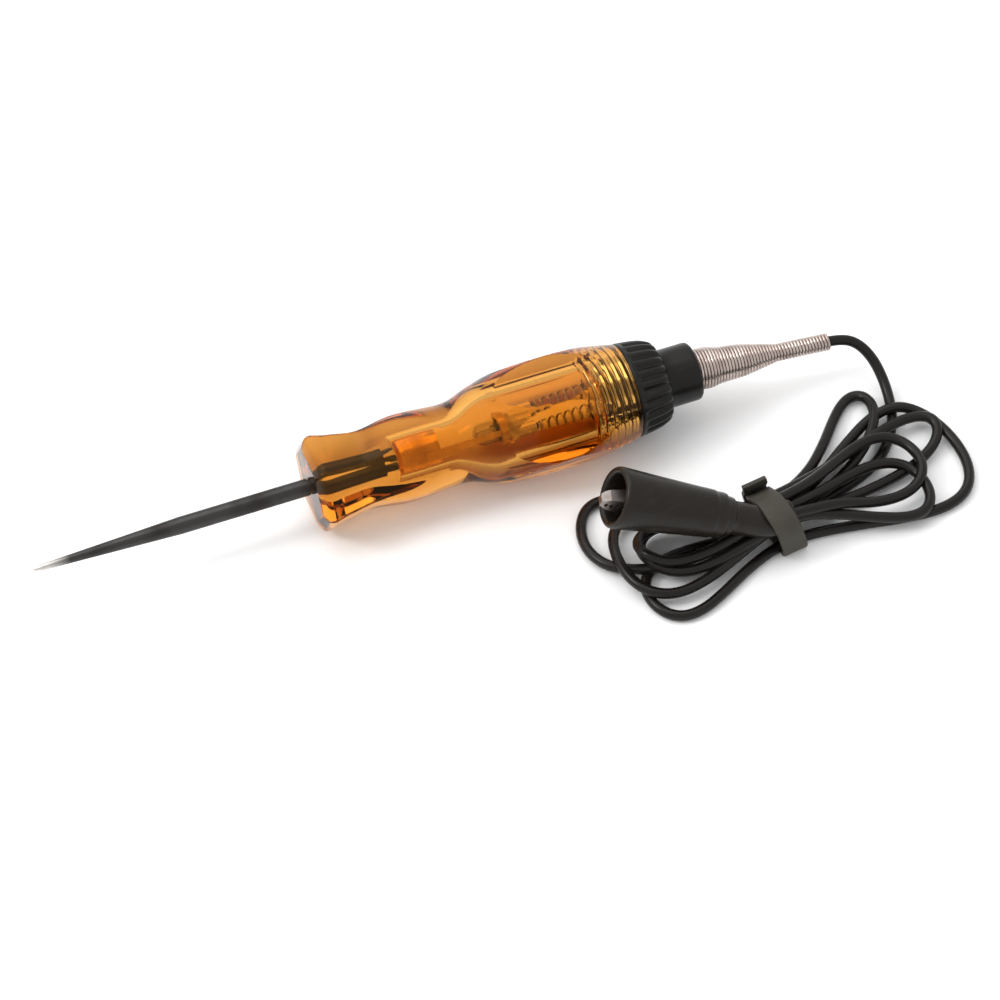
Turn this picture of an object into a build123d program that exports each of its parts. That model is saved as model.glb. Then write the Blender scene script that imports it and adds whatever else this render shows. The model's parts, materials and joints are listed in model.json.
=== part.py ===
from build123d import *
import math
import os

# Circuit test light, millimetres. The tool lies along X with its probe tip at -X and its lead at +X,
# resting on one flat of its six-sided handle. The origin is under the middle of the tool, on the
# surface that it lies on. A station is a distance from the probe tip along the tool's own axis.

# Driving dimensions: the tool
TOOL_LENGTH = 204.4
FLAT_APOTHEM = 13.1          # centre line to each rear flat, and the height of the axis over the table
FLARE_APOTHEM = 11.3         # centre line to each flat of the front flare
PROBE_R = 2.12
PROBE_TAPER = 36.5           # length of the probe's ground taper
SHANK_R = 1.8                # its shank, turned down where the plastic is moulded round it
FACE = 69.0                  # handle's front face
PROBE_END = 88.0             # blind end of the probe's moulded-in shank
HANDLE_END = 150.6
BORE_FRONT = 110.0           # front shoulder of the lamp chamber
BORE_R = 8.2
POCKET_R = 4.2               # pocket ahead of the lamp chamber, for the contact cup
THREAD_START = 138.8
THREAD_R = 8.9
FLANGE_STATION = 119.6       # front face of the bulb's flange
CAP_SPIGOT = 142.0           # front end of the cap's screwed spigot
SPIGOT_R = 8.65
RING_END = 160.0             # rear end of the cap's gripping ring
NECK_END = 168.7
NECK_R = 7.3
GRIP_GROOVES = 24
SPRING_TILT_DOWN = 3.4       # the strain relief sags under the lead's weight
SPRING_TILT_SIDE = 3.2

# Driving dimensions: the lead
LEAD_D = 2.65
HANK_HEIGHT = 5.6            # two layers of lead
TIE_AT = (70.5, -43.6)       # middle of the tie, seen from above
TIE_HEADING = 8.0            # direction of the tied bundle, degrees from +X
TIE_WIDTH = 8.5
TIE_THICK = 1.2

# Driving dimensions: the clip and its boot
BOOT_MOUTH = (31.0, -36.6, 22.6)
BOOT_HEADING = 163.0         # direction that the mouth points, degrees from +X
BOOT_RISE = 20.0             # angle of the boot above the table
BOOT_TAPER = 29.5            # mouth to the step at the neck
BOOT_MOUTH_R = 7.5
BOOT_NECK_R = 3.85
BITE = -1.5                  # height of the jaws' closing line in the boot's frame
PIVOT = -17.0                # jaw pivot, from the mouth

TIP_X = -TOOL_LENGTH / 2
TOOL_AXIS = Location((0, 0, FLAT_APOTHEM))


def at(station):
    """X of a station on the tool's axis."""
    return TIP_X + station


def turned(points):
    """Solid of revolution about the tool's axis, from a closed outline of (station, radius)."""
    outline = Polyline(*[(at(s), r) for s, r in points], close=True)
    return TOOL_AXIS * revolve(make_face(outline), Axis.X, 360)


def rod(start, end, radius):
    return turned([(start, 0), (end, 0), (end, radius), (start, radius)])


def sleeve(start, end, outer, inner):
    return turned([(start, inner), (end, inner), (end, outer), (start, outer)])


def hexagon_bar(start, end, apothem):
    """Six-sided bar on the tool's axis, with one pair of flats level."""
    section = Plane.YZ.offset(at(start)) * RegularPolygon(apothem, 6, major_radius=False)
    return TOOL_AXIS * extrude(section, end - start)


# ---- tool: handle and probe ----

def probe():
    """Ground steel pin with a needle point; its shank is moulded into the handle."""
    return turned([
        (0, 0), (0.25, 0.3), (2.2, 0.8), (PROBE_TAPER, PROBE_R), (FACE - 0.3, PROBE_R),
        (FACE - 0.3, SHANK_R), (PROBE_END, SHANK_R), (PROBE_END, 1.0), (91.6, 1.0), (91.6, 0),
    ])


def handle():
    """Clear barrel with a flared nose, a waist and six rear flats, bored for the lamp."""
    nose = [(FACE, 0), (FACE, 9.9), (70.0, 11.7)]
    curve = [(71.8, 12.5), (76.5, 11.2), (83.2, 9.8), (92.3, 10.5), (105.5, 10.05), (112.9, 12.1),
             (121.7, 14.2), (131.6, 14.9), (138.0, 14.3), (144.0, 13.2), (HANDLE_END, 11.85)]
    front = Polyline(*[(at(s), r) for s, r in nose + curve[:1]])
    side = Spline(*[(at(s), r) for s, r in curve])
    back = Polyline((at(HANDLE_END), curve[-1][1]), (at(HANDLE_END), 0), (at(FACE), 0))
    barrel = TOOL_AXIS * revolve(make_face(front + side + back), Axis.X, 360)
    barrel = barrel & hexagon_bar(FACE - 1, HANDLE_END + 1, FLAT_APOTHEM)
    flare = hexagon_bar(FACE - 1, 78, FLARE_APOTHEM) + rod(78, HANDLE_END + 1, 20)
    bore = turned([
        (FACE - 1, 0), (FACE - 1, SHANK_R), (PROBE_END, SHANK_R), (PROBE_END, 1.05), (90.4, 1.05),
        (90.4, POCKET_R), (BORE_FRONT, POCKET_R), (BORE_FRONT + 2, BORE_R), (THREAD_START, BORE_R),
        (THREAD_START, THREAD_R), (HANDLE_END + 1, THREAD_R), (HANDLE_END + 1, 0),
    ])
    return (barrel & flare) - bore


# ---- tool: lamp circuit inside the handle ----

def probe_contact_cup():
    """Brass thimble that closes on the probe's nub."""
    return turned([
        (90.5, 1.0), (90.5, 2.4), (91.6, 3.6), (92.4, 3.75), (101.0, 3.75), (101.0, 3.35),
        (92.6, 3.35), (91.8, 3.1), (90.9, 2.1), (90.9, 1.0),
    ])


def jumper_strip():
    """Thin brass strip from the cup back to the bulb's seat ring."""
    width, thick = 1.4, 0.3
    first, last = 97.0, 117.58
    strip = Pos((at(first) + at(last)) / 2, 3.77 + thick / 2, 0) * Box(last - first, thick, width)
    return TOOL_AXIS * (Rot(X=142) * strip)


def bulb_seat_ring():
    """Brass washer that the bulb's flange is pressed against."""
    return sleeve(117.6, FLANGE_STATION, 4.4, 3.05)


def bulb_base():
    """Flanged brass shell of a midget-flange bulb."""
    return turned([
        (FLANGE_STATION, 2.4), (FLANGE_STATION, 3.43), (121.2, 3.43), (121.2, 2.5), (126.0, 2.5),
        (126.0, 1.2), (125.6, 1.2), (125.6, 2.2), (121.6, 2.2), (121.2, 2.4),
    ])


def bulb_glass():
    """Round-nosed glass envelope, hollow, cemented in the base."""
    nose, radius, wall = 110.6, 2.8, 0.35
    outer = TOOL_AXIS * (Pos(X=at(nose + radius)) * Sphere(radius)) + rod(
        nose + radius, FLANGE_STATION - 0.02, radius)
    inner = TOOL_AXIS * (Pos(X=at(nose + radius)) * Sphere(radius - wall)) + rod(
        nose + radius, FLANGE_STATION - 0.8, radius - wall)
    return outer - inner + rod(FLANGE_STATION - 0.02, 121.0, 2.35)


def bulb_bead():
    """Glass bead that holds the filament's two support wires."""
    return TOOL_AXIS * (Pos(X=at(116.4)) * Box(1.2, 2.6, 1.3))


def bulb_supports():
    """Two nickel wires that stand up from the stem through the bead."""
    wires = []
    for side in (-1, 1):
        lower = Pos(at(118.0), side * 0.9, 0) * (Rot(Y=90) * Cylinder(0.12, 1.6))
        upper = Pos(at(114.3), side * 0.9, 0) * (Rot(Y=90) * Cylinder(0.12, 2.8))
        wires += [TOOL_AXIS * lower, TOOL_AXIS * upper]
    return Compound(wires)


def bulb_filament():
    """Arched tungsten coil between the tips of the support wires."""
    arch = ThreePointArc((at(112.9), -0.9), (at(111.9), 0), (at(112.9), 0.9))
    section = Plane(arch @ 0, z_dir=arch % 0) * Circle(0.16)
    return TOOL_AXIS * sweep(section, arch)


def bulb_insulator():
    """Black glass ring between the bulb's shell and its end contact."""
    return turned([
        (125.62, 0), (125.62, 1.18), (126.05, 1.18), (126.05, 2.1), (126.6, 1.5), (126.6, 0),
    ])


def bulb_contact():
    """Solder button at the end of the bulb."""
    return turned([(126.6, 0), (126.6, 0.95), (127.0, 0.8), (127.2, 0.4), (127.2, 0)])


# ---- tool: what comes away on the lead when the cap is unscrewed ----

def contact_spring():
    """Conical spring that presses the bulb forward; its coils are closed into a ribbed cone."""
    first, last, turns, wire = 127.25, 141.75, 8, 0.6
    pitch = (last - first) / turns
    outer, inner = [], []
    for turn in range(turns):
        start = first + turn * pitch
        radius = 1.5 + 1.5 * turn / (turns - 1)
        outer += [(start, radius), (start + pitch * 0.5, radius + wire / 2), (start + pitch, radius)]
        inner += [(start, radius - wire), (start + pitch, radius - wire)]
    return turned(outer + inner[::-1])


def terminal():
    """Brass contact plate with a crimp barrel for the lead's core."""
    return turned([
        (141.8, 0), (141.8, 4.4), (143.4, 4.4), (143.4, 1.9), (152.0, 1.9), (152.0, 0.72),
        (146.0, 0.72), (146.0, 0),
    ])


def terminal_bush():
    """Insulating bush that centres the terminal in the cap and takes the pull of the lead."""
    return turned([
        (143.45, 1.95), (143.45, 6.8), (156.4, 6.8), (156.4, 1.45), (152.3, 1.45), (152.3, 1.95),
    ])


def lead_conductor():
    """Stranded copper core, crimped in the terminal."""
    return rod(146.05, 160.0, 0.7)


def spring_axis():
    """Frame of the sagging part of the strain relief: its origin and its direction along +X."""
    down, side = math.radians(SPRING_TILT_DOWN), math.radians(SPRING_TILT_SIDE)
    ahead = Vector(math.cos(down) * math.cos(side), -math.cos(down) * math.sin(side), -math.sin(down))
    start = Vector(at(NECK_END), 0, FLAT_APOTHEM)
    length = (TOOL_LENGTH / 2 - start.X) / ahead.X
    return start, ahead, length


def lead_inner():
    """The lead's insulated stretch inside the cap and the strain relief."""
    start, ahead, length = spring_axis()
    head = Vector(at(152.4), 0, FLAT_APOTHEM)
    path = FilletPolyline(head, start, start + ahead * length, radius=40)
    lead = sweep(Plane(head, z_dir=(1, 0, 0)) * Circle(LEAD_D / 2), path)
    return lead - rod(152.0, 160.05, 0.72)


def strain_relief_spring():
    """Close-wound spring, stepped down to grip the lead; its coils are closed into a ribbed sleeve."""
    wire = 0.82
    start, ahead, length = spring_axis()
    steps = [(0.0, 5.2), (3.7, 5.2), (6.1, 4.6), (12.5, 4.1), (14.1, 3.8), (17.3, 3.15), (21.6, 2.25),
             (length, 2.25)]

    def radius_at(distance):
        for (d0, r0), (d1, r1) in zip(steps, steps[1:]):
            if distance <= d1:
                return r0 + (r1 - r0) * (distance - d0) / (d1 - d0)
        return steps[-1][1]

    coils = int(length / wire)
    pitch = length / coils
    outer = []
    for coil in range(coils):
        begin = coil * pitch
        outer += [(begin, radius_at(begin) - 0.16), (begin + pitch / 2, radius_at(begin + pitch / 2))]
    outer.append((length, radius_at(length) - 0.16))
    inner = [(length, 1.42), (21.6, 1.42), (3.7, 4.3), (0, 4.3)]
    face = make_face(Polyline(*(outer + inner), close=True))
    tail = Plane(start, x_dir=ahead, z_dir=ahead.cross(Vector(0, 1, 0))) * revolve(face, Axis.X, 360)
    hidden = sleeve(163.0, NECK_END + 0.7, 4.92, 4.5)
    return tail + hidden


def end_cap():
    """Black screw cap: spigot into the handle, ribbed gripping ring, and neck round the spring."""
    cap = turned([
        (CAP_SPIGOT, 6.9), (CAP_SPIGOT, SPIGOT_R - 0.5), (142.6, SPIGOT_R), (HANDLE_END + 0.05, SPIGOT_R),
        (HANDLE_END + 0.05, 11.85), (153.2, 11.6), (157.6, 10.8), (159.3, 9.9), (RING_END, 8.6),
        (RING_END, NECK_R), (NECK_END - 0.9, NECK_R), (NECK_END - 0.25, NECK_R - 0.25),
        (NECK_END, NECK_R - 0.9), (NECK_END, 5.28), (162.5, 5.28), (162.5, 1.6), (156.5, 1.6),
        (156.5, 6.9),
    ])
    groove = Pos(at(156.3), 0, 11.95) * (Rot(Y=90) * Cylinder(0.75, 5.4))
    grooves = [Rot(X=360 * n / GRIP_GROOVES) * groove for n in range(GRIP_GROOVES)]
    return cap - [TOOL_AXIS * g for g in grooves]


# ---- lead: free stretch, hank and tie ----

# Corners of the lead's run from the strain relief down to the hank
LEAD_ROUTE = [
    (106.4, -2.25, 10.75), (110.6, -3.9, 9.2), (113.4, -7.2, 6.9), (114.2, -11.9, 4.4),
    (113.3, -16.6, 2.4), (111.4, -21.0, 1.5), (109.6, -24.6, 1.4),
]


def corner_radii(points):
    """Largest arc that each corner's two runs allow."""
    radii = []
    for a, b, c in zip(points, points[1:], points[2:]):
        turn = (b - a).get_angle(c - b)
        shorter = min((b - a).length, (c - b).length)
        radii.append(0.45 * shorter / math.tan(math.radians(turn / 2)))
    return radii


def lead_tube():
    """The lead's free stretch: straight runs joined by tangent arcs."""
    start, ahead, length = spring_axis()
    exit_point = start + ahead * (length + 0.02)
    points = [exit_point] + [Vector(*p) for p in LEAD_ROUTE]
    radii = corner_radii(points)
    path = FilletPolyline(*points, radius=radii)
    tube = sweep(Plane(exit_point, z_dir=path % 0) * Circle(LEAD_D / 2), path)
    ideal = math.pi * LEAD_D ** 2 / 4 * path.length
    print("lead_tube radii", [round(r, 1) for r in radii], "length", round(path.length, 1),
          "volume / ideal", round(tube.volume / ideal, 4))
    return tube


def lead_hank():
    """Outer shape of the tied hank: a fan of loops on each side of a narrow waist."""
    right = [(74, -36.5), (90, -27), (100, -14.8), (105.5, -14.4), (108.2, -24.8), (121, -23.2),
             (125.2, -31.0), (125.0, -39.5), (120.5, -48.2), (112.5, -54.4), (99, -56), (74, -50.5)]
    left = [(67, -50.8), (56, -57.5), (46, -62.9), (38, -61.8), (33.2, -56), (30.4, -47.5),
            (25.6, -38), (25.2, -30), (29.5, -22.5), (36.5, -19.2), (50, -28), (67, -37)]
    outline = make_face(Polyline(*(right + left), close=True))
    hank = fillet(extrude(outline, HANK_HEIGHT).edges().filter_by(Axis.Z), 2.0)
    return hank - extrude(across_bundle() * tie_outline(TIE_THICK), TIE_WIDTH) + tied_waist()


def tied_waist():
    """The bundle inside the tie, which runs under it."""
    frame = across_bundle()
    level = frame * (Pos(0, TIE_THICK + 2.15) * Rectangle(12.0, 4.0))
    return extrude(level, TIE_WIDTH)


def across_bundle():
    """Frame at the tie: its X is across the bundle, its Y is up and its Z is along the bundle."""
    along = Vector(math.cos(math.radians(TIE_HEADING)), math.sin(math.radians(TIE_HEADING)), 0)
    across = Vector(-along.Y, along.X, 0)
    origin = Vector(*TIE_AT, 0) - along * (TIE_WIDTH / 2)
    return Plane(origin, x_dir=across, z_dir=along)


def tie_outline(grow):
    """Section that the tie is pulled round: the bundle with the boot's neck lying on it."""
    line = Polyline((-7.0, TIE_THICK), (7.0, TIE_THICK), (7.4, 5.6), (-0.4, 13.5),
                    (-6.6, 13.5), (-8.4, 9.8), (-8.2, 5.0), close=True)
    section = fillet(make_face(line).vertices(), 1.4)
    return offset(section, grow, kind=Kind.ARC) if grow else section


def hank_tie():
    """Rubber strap round the hank's waist and the neck of the clip's boot."""
    frame = across_bundle()
    band = extrude(frame * tie_outline(TIE_THICK), TIE_WIDTH)
    return band - extrude(frame * tie_outline(0), TIE_WIDTH)


# ---- clip on the lead's end ----

def boot_frame():
    """Frame at the middle of the boot's mouth: its X points out of the mouth, its Z is upward."""
    heading, rise = math.radians(BOOT_HEADING), math.radians(BOOT_RISE)
    out = Vector(math.cos(rise) * math.cos(heading), math.cos(rise) * math.sin(heading),
                 math.sin(rise))
    up = Vector(-math.sin(rise) * math.cos(heading), -math.sin(rise) * math.sin(heading),
                math.cos(rise))
    return Plane(BOOT_MOUTH, x_dir=out, z_dir=up)


def boot_turned(points):
    return boot_frame() * revolve(make_face(Polyline(*points, close=True)), Axis.X, 360)


def neck_path():
    """Centre line of the boot's neck, bent level where the tie holds it down on the hank."""
    frame = boot_frame()
    start = frame.from_local_coords((-BOOT_TAPER + 1, 0, 0))
    drop = (start.Z - (HANK_HEIGHT + BOOT_NECK_R + 0.05)) / math.sin(math.radians(BOOT_RISE))
    bend = start - frame.x_dir * drop
    end = bend + Vector(9.4, 0.2, 0)
    return start, FilletPolyline(start, bend, end, radius=14)


def clip_boot():
    """Black rubber sleeve over the clip, tapering to a neck that grips the lead."""
    body = boot_turned([
        (0.6, 0), (0.6, BOOT_MOUTH_R), (-27.0, 5.6), (-28.6, 5.2), (-BOOT_TAPER, 4.3), (-BOOT_TAPER, 0),
    ])
    start, path = neck_path()
    neck = sweep(Plane(start, z_dir=path % 0) * Circle(BOOT_NECK_R), path)
    tunnel = sweep(Plane(start, z_dir=path % 0) * Circle(LEAD_D / 2 + 0.02), path)
    hollow = boot_turned([
        (1.0, 0), (1.0, 5.75), (-25.5, 4.75), (-27.0, 1.9), (-29.0, 1.9), (-29.0, 0),
    ])
    return body + neck - tunnel - hollow


def jaw_blank(side, plan):
    """Folded jaw: a side view and a plan view, each extruded, and what they share."""
    side_face = Plane.XZ * make_face(Polyline(*side, close=True))
    upright = extrude(side_face, 6, both=True)
    plan_points = plan + [(x, -y) for x, y in reversed(plan)]
    level = extrude(make_face(Polyline(*plan_points, close=True)), 8, both=True)
    return upright & level


def teeth(side):
    """Row of notches across a jaw's biting edge; side is +1 for the upper jaw."""
    notches = []
    for n in range(8):
        middle = 2.2 - 1.35 * n
        notch = Polyline((middle - 0.5, BITE), (middle + 0.5, BITE), (middle, BITE + side * 0.75),
                         close=True)
        notches.append(extrude(Plane.XZ * make_face(notch), 6, both=True))
    return notches


def clip_lower_jaw():
    """Pressed steel jaw: toothed trough, ears for the rivet, and a crimp barrel for the lead."""
    edge = BITE - 0.02
    side = [(3.5, edge), (3.5, edge - 0.9), (1.5, -3.1), (-5, -3.5), (-22, -3.5), (-22, -0.6),
            (-19.3, 1.3), (-14.7, 1.3), (-12.3, edge)]
    plan = [(3.6, 1.0), (2.6, 1.5), (-11, 2.7), (-22, 2.7)]
    inner_side = [(2.9, 2), (2.9, -2.0), (1.4, -2.6), (-5, -3.0), (-21.2, -3.0), (-23, 2)]
    inner_plan = [(2.9, 0.7), (2.2, 1.0), (-11, 2.2), (-23, 2.2)]
    trough = jaw_blank(side, plan) - jaw_blank(inner_side, inner_plan) - teeth(-1)
    barrel = Pos(X=-25.3) * (Rot(Y=90) * (Cylinder(1.8, 6.6) - Cylinder(1.3, 8)))
    tongue = Pos(-21.9, 0, -2.6) * Box(2.6, 2.4, 1.9)
    core = Pos(X=-25.2) * (Rot(Y=90) * Cylinder(1.3, 8))
    hole = Pos(PIVOT, 0, 0) * (Rot(X=90) * Cylinder(0.8, 8))
    return boot_frame() * (trough + barrel + (tongue - core) - hole)


def clip_upper_jaw():
    """Pressed steel jaw that swings on the rivet; its tail is the lever squeezed through the boot."""
    edge = BITE + 0.02
    side = [(3.5, edge), (3.5, edge + 0.8), (1.6, 0.6), (-6, 1.9), (-20, 2.6), (-22.8, 4.1),
            (-22.8, 3.6), (-20.9, 2.6), (-19.6, -1.2), (-14.6, -1.2), (-12.6, edge)]
    plan = [(3.6, 1.0), (2.6, 1.5), (-10.2, 2.6), (-12.2, 2.1), (-23, 2.1)]
    inner_side = [(2.9, -4), (2.9, -1.0), (1.4, 0.1), (-6, 1.4), (-20, 2.1), (-20.8, 2.4), (-20.8, -4)]
    inner_plan = [(2.9, 0.7), (2.2, 1.0), (-10.2, 2.1), (-12.2, 1.6), (-23, 1.6)]
    hood = jaw_blank(side, plan) - jaw_blank(inner_side, inner_plan) - teeth(1)
    hole = Pos(PIVOT, 0, 0) * (Rot(X=90) * Cylinder(0.86, 8))
    return boot_frame() * (hood - hole)


def clip_rivet():
    """Steel rivet through the ears of both jaws, headed outside the lower jaw."""
    shank = Rot(X=90) * Cylinder(0.8, 5.4)
    heads = [Pos(Y=side * 2.95) * (Rot(X=90) * Cylinder(1.3, 0.5)) for side in (-1, 1)]
    return boot_frame() * (Pos(X=PIVOT) * (shank + heads))


def clip_spring():
    """Torsion spring round the rivet, with a leg forward in the lower jaw."""
    coil = Rot(X=90) * (Cylinder(1.55, 2.8) - Cylinder(0.95, 3))
    leg = Pos(3.4, 0.9, -1.28) * Box(6.4, 0.5, 0.5)
    return boot_frame() * (Pos(X=PIVOT) * (coil + leg))


def lead_tail():
    """The lead's last stretch, inside the boot's neck."""
    start, path = neck_path()
    lead = sweep(Plane(start, z_dir=path % 0) * Circle(LEAD_D / 2), path)
    return lead - boot_frame() * (Pos(X=-BOOT_TAPER + 1.2) * Box(1.0, 9, 9))


def tail_conductor():
    """The tail's copper core, crimped in the lower jaw's barrel."""
    return boot_frame() * (Pos(X=-25.2) * (Rot(Y=90) * Cylinder(1.28, 6.4)))


SUB_PARTS = [
    probe, handle, probe_contact_cup, jumper_strip, bulb_seat_ring, bulb_base, bulb_glass, bulb_bead,
    bulb_supports, bulb_filament, bulb_insulator, bulb_contact, contact_spring, terminal,
    terminal_bush, lead_conductor, lead_inner, strain_relief_spring, end_cap, lead_tube, lead_hank,
    hank_tie, clip_boot, clip_lower_jaw, clip_upper_jaw, clip_rivet, clip_spring, lead_tail,
    tail_conductor,
]

os.makedirs("parts", exist_ok=True)
for make in SUB_PARTS:
    export_step(make(), f"parts/{make.__name__}.step")
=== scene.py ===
"""Looks of a circuit test light: needle probe, clear amber handle, screw cap and tied ground lead."""

import json
import math

import bpy
from mathutils import Matrix, Vector, geometry

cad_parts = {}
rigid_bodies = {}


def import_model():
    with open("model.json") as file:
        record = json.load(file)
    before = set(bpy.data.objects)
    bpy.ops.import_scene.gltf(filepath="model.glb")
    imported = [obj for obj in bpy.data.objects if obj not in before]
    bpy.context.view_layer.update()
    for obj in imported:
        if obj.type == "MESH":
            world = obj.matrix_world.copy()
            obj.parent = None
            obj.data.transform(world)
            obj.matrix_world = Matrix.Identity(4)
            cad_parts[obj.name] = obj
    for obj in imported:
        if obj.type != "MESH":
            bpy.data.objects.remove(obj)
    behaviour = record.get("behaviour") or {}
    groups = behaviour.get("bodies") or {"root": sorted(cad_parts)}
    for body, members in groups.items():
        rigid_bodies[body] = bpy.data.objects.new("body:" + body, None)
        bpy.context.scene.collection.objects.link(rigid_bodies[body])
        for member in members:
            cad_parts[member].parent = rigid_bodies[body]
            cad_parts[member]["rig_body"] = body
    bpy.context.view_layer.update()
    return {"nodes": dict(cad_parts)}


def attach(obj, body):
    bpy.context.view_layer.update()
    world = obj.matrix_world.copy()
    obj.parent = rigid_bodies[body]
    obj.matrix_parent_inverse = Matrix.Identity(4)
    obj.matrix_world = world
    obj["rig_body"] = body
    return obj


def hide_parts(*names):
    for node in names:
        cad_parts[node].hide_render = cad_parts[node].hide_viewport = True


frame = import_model()

# ---- table and light ----
# A white table top, one large soft light overhead and a small one at the left, in a bright white
# room. The camera stands over the near side and looks down on the tool.

MM = 0.001                # the values below are in millimetres unless a name says otherwise

bpy.ops.object.select_all(action="DESELECT")
bpy.ops.mesh.primitive_plane_add(size=8, location=(0, 0, -0.05 * MM))
table = bpy.context.object
table.name = "table"
table_white = bpy.data.materials.new("table_white")
table_white.use_nodes = True
table_shader = table_white.node_tree.nodes["Principled BSDF"]
table_shader.inputs["Base Color"].default_value = (0.93, 0.93, 0.93, 1)
table_shader.inputs["Roughness"].default_value = 0.7
table.data.materials.append(table_white)

room = bpy.data.worlds.new("white_room")
room.use_nodes = True
room_glow = room.node_tree.nodes["Background"]
room_glow.inputs["Color"].default_value = (1, 1, 1, 1)
room_glow.inputs["Strength"].default_value = 0.93
bpy.context.scene.world = room
bpy.context.scene.view_settings.view_transform = "Standard"


def soft_light(name, place, aim, size, watts):
    """Square soft light at a place, turned to the point that it lights."""
    bpy.ops.object.light_add(type="AREA", location=place)
    light = bpy.context.object
    light.name = name
    light.data.shape = "SQUARE"
    light.data.size = size
    light.data.energy = watts
    light.rotation_euler = (Vector(aim) - Vector(place)).to_track_quat("-Z", "Y").to_euler()


LIT_POINT = (0, -0.02, 0)
soft_light("overhead_light", (-0.3, 0.8, 1.6), LIT_POINT, 2.0, 18)
soft_light("left_light", (-0.9, 0.2, 0.9), LIT_POINT, 0.35, 5)

camera_aim = Vector((7.86, -20.36, 13.1)) * MM
camera_turn = math.radians(-21.2512)
camera_rise = math.radians(52)
camera_back = Vector((
    math.sin(camera_turn) * math.cos(camera_rise),
    -math.cos(camera_turn) * math.cos(camera_rise),
    math.sin(camera_rise),
))
bpy.ops.object.camera_add(location=camera_aim + camera_back)
camera = bpy.context.object
camera.rotation_euler = (math.pi / 2 - camera_rise, 0, camera_turn)
camera.data.sensor_width = 36
camera.data.lens = 150.93
camera.data.clip_start = 0.05
bpy.context.scene.camera = camera

# ---- lead ----
# Black PVC lead. It leaves the strain relief, drops to the table and is folded to and fro through
# the tie into a loose flat hank. Its last fold comes back through the tie into the boot's neck.

LEAD_THICK = 2.65
TIE_AT = Vector((70.5, -43.6))
BUNDLE_HEADING = 8.0       # degrees from +X
FOLD_START = 4.5           # folds fan out this far each side of the tie's middle
BOOT_END = Vector((73.6, -46.9))
BOOT_END_HEIGHTS = [8.6, 9.3, 9.5]
CROSSING_GAP = LEAD_THICK * 1.09     # turns nearer than this, seen from above, lie on each other
SETTLED = 0.93                       # turns bed into the ones under them by the rest
SMOOTHING_PASSES = 6
SMOOTHING_SINK = 0.25                # how far smoothing may press a turn into the one under it

free_stretch = [
    (102.24, -2.0, 10.98), (105.9, -2.3, 10.7), (109.4, -4.1, 9.1), (111.6, -7.8, 6.7),
    (112.3, -12.3, 4.2), (112.0, -16.9, 2.4), (111.0, -21.0, 1.5), (109.6, -24.6, 1.4),
]
run_to_tie = [(106.4, -29.2), (102.4, -33.2), (97.0, -36.4), (90.8, -38.6), (83.0, -40.8)]

# Each fold: heading of its tip in degrees, reach, width (negative when it is wound clockwise), and
# how far left of the bundle's middle it leaves the tie and comes back.
folds = [
    (193.2, 33.6, -15.0, 1.3, -5.3),
    (12.5, 47.4, -29.5, -5.3, 2.65),
    (158.5, 43.1, -22.0, 2.65, 0.0),
    (39.5, 41.0, -9.0, 0.0, 5.3),
    (176.0, 36.0, -23.0, 5.3, -2.65),
    (16.5, 46.0, -9.0, -2.65, 4.6),
    (174.0, 30.0, -12.0, 4.6, -3.9),
    (-1.0, 33.6, -17.0, -3.9, -1.3),
    (173.0, 31.0, 11.0, -1.3, 1.3),
    (12.0, 35.5, 15.5, 1.3, -4.0),
]

bundle_turn = math.radians(BUNDLE_HEADING)
bundle_along = Vector((math.cos(bundle_turn), math.sin(bundle_turn)))
bundle_across = Vector((-bundle_along.y, bundle_along.x))


def fold_points(heading, reach, width, leaves, returns, count=12):
    """One fold of the hank, from the tie out to its tip and back."""
    side = 1 if abs(heading) < 90 else -1
    rest = BUNDLE_HEADING if side > 0 else BUNDLE_HEADING + 180
    start = TIE_AT + bundle_along * side * FOLD_START
    points = []
    for n in range(count + 1):
        t = n / count
        out = reach * math.sin(math.pi * t)
        bulge = width * 0.575 * math.sin(2 * math.pi * t) * (0.4 + 0.6 * math.sin(math.pi * t))
        turn = math.radians(rest + (heading - rest) * math.sqrt(abs(out) / reach))
        forward = Vector((math.cos(turn), math.sin(turn)))
        sideways = Vector((-forward.y, forward.x))
        slot = leaves + (returns - leaves) * t
        points.append(start + bundle_across * slot + forward * out + sideways * bulge)
    return points


def laid_height(points, heights, here):
    """Height at which a point of the lead rests on the turns laid down before it."""
    height = LEAD_THICK / 2
    for n in range(here - 3):
        run = points[n + 1] - points[n]
        share = min(1, max(0, (points[here] - points[n]).dot(run) / max(run.length_squared, 1e-9)))
        aside = (points[here] - points[n] - run * share).length
        if aside < CROSSING_GAP:
            below = heights[n] + (heights[n + 1] - heights[n]) * share
            height = max(height, below + SETTLED * math.sqrt(CROSSING_GAP ** 2 - aside ** 2))
    return height


lead_plan = [Vector(p[:2]) for p in free_stretch] + [Vector(p) for p in run_to_tie]
for fold in folds:
    lead_plan += fold_points(*fold)
lead_plan.append(BOOT_END)

heights = [p[2] for p in free_stretch]
for n in range(len(free_stretch), len(lead_plan)):
    heights.append(laid_height(lead_plan, heights, n))
lowest = [h - SMOOTHING_SINK for h in heights]
for _ in range(SMOOTHING_PASSES):
    eased = list(heights)
    for n in range(len(free_stretch), len(heights) - 1):
        mean = (heights[n - 1] + 2 * heights[n] + heights[n + 1]) / 4
        eased[n] = max(mean, lowest[n])
    heights = eased
heights[-3:] = BOOT_END_HEIGHTS

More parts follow.
